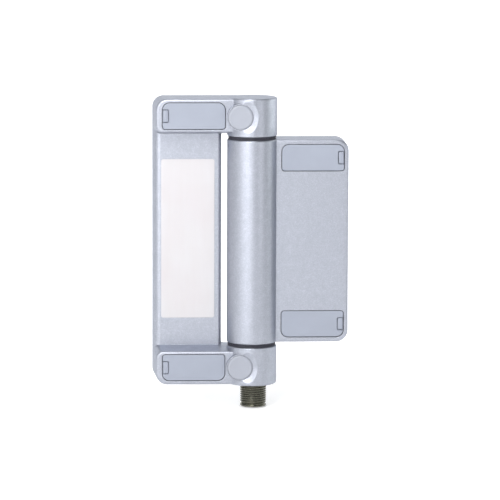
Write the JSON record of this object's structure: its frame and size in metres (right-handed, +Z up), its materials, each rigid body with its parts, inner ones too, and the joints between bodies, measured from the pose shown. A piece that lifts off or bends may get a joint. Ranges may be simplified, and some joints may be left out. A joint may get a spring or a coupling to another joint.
{
  "type": "safety hinge switch",
  "caption": "Die-cast door hinge with a position switch inside its barrel, snap covers over its fixing screws and a threaded plug connector below.",
  "frame": {"origin": "The middle of the barrel, on the hinge axis.", "axes": "+Z up along the hinge axis, +Y through the back faces into the door and its frame, and +X towards the moving leaf's outer edge with the door closed."},
  "size_m": [0.0878, 0.0232, 0.14],
  "materials": {
    "cast_silver": "satin silver coat with a fine metallic grain on a zinc casting",
    "cover_plastic": "smooth blue-grey plastic",
    "cap_plastic": "silver-grey plastic",
    "screw_steel": "zinc-plated steel",
    "label_paper": "pearl-white self-adhesive film, blank",
    "shaft_steel": "ground stainless steel",
    "bush_plastic": "black bearing plastic",
    "seal_rubber": "black rubber",
    "nut_brass": "machined brass",
    "spindle_plastic": "natural bearing plastic",
    "contact_metal": "silver-plated contact metal",
    "cartridge_plastic": "black insulating plastic",
    "connector_nickel": "dark nickel plate on brass",
    "insert_plastic": "black insulating plastic",
    "pin_gold": "gold-plated contact pins",
    "wire_pvc": "insulated wire"
  },
  "bodies": {
    "fixed_side": {"fixed_leaf": "cast_silver", "upper_clamp_screw": "screw_steel", "lower_clamp_screw": "screw_steel", "rating_label": "label_paper", "upper_shaft": "shaft_steel", "lower_shaft": "shaft_steel", "contact_blades": "contact_metal", "switch_cartridge": "cartridge_plastic", "connector_shell": "connector_nickel", "connector_insert": "insert_plastic", "connector_pins": "pin_gold", "connector_seal": "seal_rubber", "connector_wires": "wire_pvc"},
    "moving_side": {"moving_leaf": "cast_silver", "upper_bush": "bush_plastic", "lower_bush": "bush_plastic", "upper_seal": "seal_rubber", "lower_seal": "seal_rubber", "actuator_nut": "nut_brass"},
    "contact_carriage": {"actuator_spindle": "spindle_plastic", "contact_bridge": "contact_metal"},
    "fixed_upper_cover": {"fixed_upper_cover": "cover_plastic"},
    "fixed_lower_cover": {"fixed_lower_cover": "cover_plastic"},
    "moving_upper_cover": {"moving_upper_cover": "cover_plastic"},
    "moving_lower_cover": {"moving_lower_cover": "cover_plastic"},
    "upper_cap": {"upper_cap": "cap_plastic"},
    "lower_cap": {"lower_cap": "cap_plastic"}
  },
  "joints": [
    {"name": "hinge_turn", "type": "hinge", "parent": "fixed_side", "child": "moving_side", "pos_m": [0, 0, 0], "axis": [0, 0, -1], "range_deg": [0, 180]},
    {"name": "switch_stroke", "type": "slide", "parent": "fixed_side", "child": "contact_carriage", "axis": [0, 0, -1], "range_m": [0, 0.01]},
    {"name": "fixed_upper_cover_pull", "type": "slide", "parent": "fixed_side", "child": "fixed_upper_cover", "axis": [0, 1, 0], "range_m": [-0.008, 0]},
    {"name": "fixed_lower_cover_pull", "type": "slide", "parent": "fixed_side", "child": "fixed_lower_cover", "axis": [0, 1, 0], "range_m": [-0.008, 0]},
    {"name": "moving_upper_cover_pull", "type": "slide", "parent": "moving_side", "child": "moving_upper_cover", "axis": [0, 1, 0], "range_m": [-0.008, 0]},
    {"name": "moving_lower_cover_pull", "type": "slide", "parent": "moving_side", "child": "moving_lower_cover", "axis": [0, 1, 0], "range_m": [-0.008, 0]},
    {"name": "upper_cap_pull", "type": "slide", "parent": "fixed_side", "child": "upper_cap", "axis": [0, 1, 0], "range_m": [-0.008, 0]},
    {"name": "lower_cap_pull", "type": "slide", "parent": "fixed_side", "child": "lower_cap", "axis": [0, 1, 0], "range_m": [-0.008, 0]}
  ],
  "couplings": [
    {"joint": "switch_stroke", "follows": "hinge_turn", "m_per_rad": 0.003183}
  ]
}
